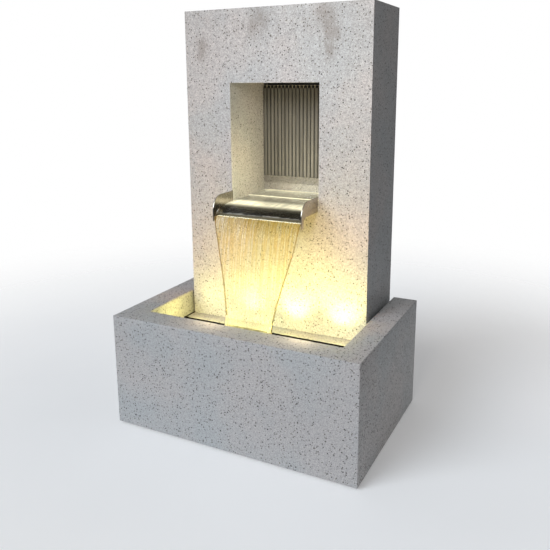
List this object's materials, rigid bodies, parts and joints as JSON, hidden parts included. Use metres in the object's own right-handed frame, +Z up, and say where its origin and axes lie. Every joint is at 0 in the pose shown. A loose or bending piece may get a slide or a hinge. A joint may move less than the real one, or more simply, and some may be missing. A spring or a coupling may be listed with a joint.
{
  "type": "tabletop water fountain",
  "caption": "Terrazzo basin with a hollow tower; water runs down a ribbed panel in a niche and over a curved steel lip into a lit trough with a grate.",
  "frame": {"origin": "on the ground under the middle of the fountain's outer box", "axes": "+Z up, -Y out of the front where the water falls, +X to the right of a person facing the fountain"},
  "size_m": [0.3, 0.2052, 0.4776],
  "materials": {
    "terrazzo": "satin",
    "steel": "satin",
    "ribbed_resin": "satin",
    "rubber": "matte",
    "black_plastic": "matte",
    "grey_plastic": "matte",
    "cover_board": "matte",
    "hardware": "satin",
    "clear_hose": "satin",
    "magnet": "satin",
    "lamp_lens": "gloss",
    "lamp_board": "matte"
  },
  "bodies": {
    "root": {"basin_shell": "terrazzo", "deck_plate": "terrazzo", "tower_shell": "terrazzo", "spillway_pan": "steel", "spillway_cheek_left": "steel", "spillway_cheek_right": "steel", "ribbed_panel": "ribbed_resin", "foot_front_left": "rubber", "foot_front_right": "rubber", "foot_rear_left": "rubber", "foot_rear_right": "rubber", "gap_seal_left": "rubber", "gap_seal_right": "rubber", "deck_edge_seal": "rubber", "slot_seal": "rubber", "cable_grommet": "rubber", "pump_seal_ring": "rubber", "pump_cup_front_left": "rubber", "pump_cup_front_right": "rubber", "pump_cup_rear_left": "rubber", "pump_cup_rear_right": "rubber", "pump_lead": "rubber", "lamp_lead": "rubber", "pump_motor": "black_plastic", "pump_volute": "black_plastic", "pump_intake_cover": "black_plastic", "junction_box": "black_plastic", "header_box": "grey_plastic", "header_lid": "grey_plastic", "rear_cover": "cover_board", "rear_cover_screw_1": "hardware", "rear_cover_screw_2": "hardware", "rear_cover_screw_3": "hardware", "rear_cover_screw_4": "hardware", "rear_cover_screw_5": "hardware", "rear_cover_screw_6": "hardware", "anchor_bracket_left": "hardware", "anchor_bracket_right": "hardware", "anchor_screw_left": "hardware", "anchor_screw_right": "hardware", "hose_clip_lower": "hardware", "hose_clip_upper": "hardware", "lamp_bracket_left": "hardware", "lamp_bracket_right": "hardware", "pump_shaft": "hardware", "riser_hose": "clear_hose"},
    "grate": {"trough_grate": "black_plastic"},
    "lamp_bar": {"lamp_housing": "black_plastic", "lamp_board": "lamp_board", "lamp_lens": "lamp_lens", "lamp_end_cap_left": "black_plastic", "lamp_end_cap_right": "black_plastic"},
    "impeller": {"pump_impeller": "magnet"},
    "flow_dial": {"pump_flow_dial": "grey_plastic"}
  },
  "joints": [
    {"name": "grate_lift", "type": "slide", "parent": "root", "child": "grate", "axis": [0, 0, 1], "range_m": [0, 0.03]},
    {"name": "lamp_tilt", "type": "hinge", "parent": "root", "child": "lamp_bar", "pos_m": [0, -0.018, 0.0975], "axis": [1, 0, 0], "range_deg": [-15, 15]},
    {"name": "impeller_spin", "type": "hinge", "parent": "root", "child": "impeller", "pos_m": [0.079, -0.036, 0.0365], "axis": [0, 1, 0], "continuous": true},
    {"name": "flow_dial_turn", "type": "hinge", "parent": "root", "child": "flow_dial", "pos_m": [0.079, -0.036, 0.0365], "axis": [0, 1, 0], "range_deg": [-60, 60]}
  ]
}
